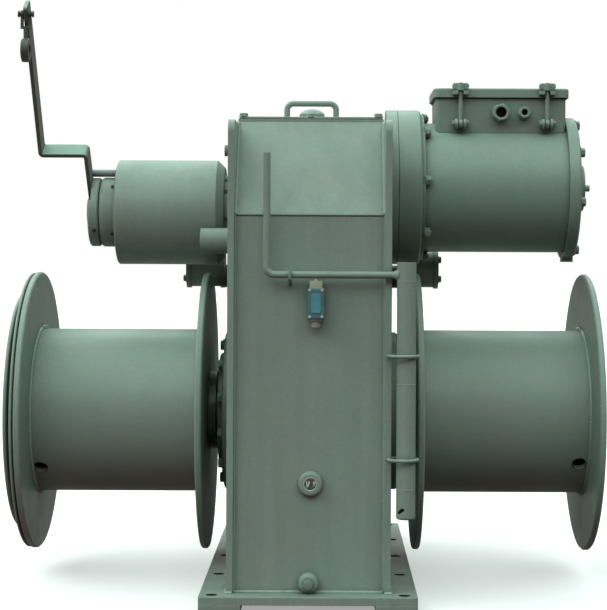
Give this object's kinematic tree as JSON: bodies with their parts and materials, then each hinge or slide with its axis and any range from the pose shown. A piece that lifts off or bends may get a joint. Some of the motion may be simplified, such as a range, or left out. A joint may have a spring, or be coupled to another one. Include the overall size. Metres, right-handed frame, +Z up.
{
  "type": "rescue boat winch",
  "caption": "Electric davit winch with a welded gear case, rope drums on one shaft, a lever brake, a motor with terminal box and a stowed hand crank.",
  "frame": {"origin": "centre of the base bolt pattern on the underside of the foot rails", "axes": "+Z up; +X along the drum shaft toward the motor; -Y toward the oil glass and hand crank"},
  "size_m": [1.261, 0.9875, 1.2122],
  "materials": {
    "green_grey_paint": "satin",
    "motor_paint": "satin",
    "dark_paint": "satin",
    "turned_steel": "turned",
    "dark_steel": "weathered",
    "switch_blue": "glossy",
    "switch_metal": "cast"
  },
  "bodies": {
    "winch_frame": {"base_plate": "green_grey_paint", "foot_rails": "green_grey_paint", "left_side_plate": "green_grey_paint", "right_side_plate": "green_grey_paint", "front_panel": "green_grey_paint", "rear_panel": "green_grey_paint", "top_flange": "green_grey_paint", "case_lid": "green_grey_paint", "lid_handle": "green_grey_paint", "filler_cap": "green_grey_paint", "bearing_housings": "green_grey_paint", "idler_shaft_covers": "green_grey_paint", "crank_shaft_sleeve": "green_grey_paint", "brake_adapter": "green_grey_paint", "brake_housing": "green_grey_paint", "brake_end_cap": "green_grey_paint", "brake_stop_rod": "green_grey_paint", "motor_adapter": "motor_paint", "motor_body": "motor_paint", "motor_end_shield": "motor_paint", "terminal_box": "motor_paint", "terminal_box_cover": "motor_paint", "cable_glands": "motor_paint", "bolt_brackets": "motor_paint", "rear_swing_bolts": "motor_paint", "oil_fittings": "green_grey_paint", "limit_switch_body": "switch_blue", "limit_switch_fittings": "switch_metal", "crank_holders": "green_grey_paint"},
    "rope_drums": {"drum_shaft": "turned_steel", "left_drum_flanges": "green_grey_paint", "right_drum_flanges": "green_grey_paint", "left_drum_barrel": "green_grey_paint", "right_drum_barrel": "green_grey_paint", "wire_reel_discs": "green_grey_paint", "wire_reel_core": "green_grey_paint", "shaft_end_plates": "green_grey_paint"},
    "lever": {"lever_hub": "green_grey_paint", "brake_lever": "dark_paint", "lever_pin": "dark_steel"},
    "shackle": {"wire_shackle": "dark_steel"},
    "left_bolt": {"left_swing_bolt": "motor_paint"},
    "right_bolt": {"right_swing_bolt": "motor_paint"},
    "hand_crank": {"crank_socket": "green_grey_paint", "crank_rod": "green_grey_paint"}
  },
  "joints": [
    {"name": "drum_spin", "type": "hinge", "parent": "winch_frame", "child": "rope_drums", "pos_m": [0, 0, 0.35], "axis": [1, 0, 0], "continuous": true},
    {"name": "brake_lever_swing", "type": "hinge", "parent": "winch_frame", "child": "lever", "pos_m": [-0.474, 0, 0.7835], "axis": [1, 0, 0], "range_deg": [0, 40]},
    {"name": "shackle_swing", "type": "hinge", "parent": "lever", "child": "shackle", "pos_m": [-0.586, -0.2656, 1.18118], "axis": [1, 0, 0], "range_deg": [-110, 0]},
    {"name": "left_bolt_swing", "type": "hinge", "parent": "winch_frame", "child": "left_bolt", "pos_m": [0.3185, -0.098, 0.974], "axis": [1, 0, 0], "range_deg": [0, 125]},
    {"name": "right_bolt_swing", "type": "hinge", "parent": "winch_frame", "child": "right_bolt", "pos_m": [0.5045, -0.098, 0.974], "axis": [1, 0, 0], "range_deg": [0, 125]},
    {"name": "crank_lift", "type": "slide", "parent": "winch_frame", "child": "hand_crank", "axis": [0, 0, 1], "range_m": [0, 0.3]}
  ]
}
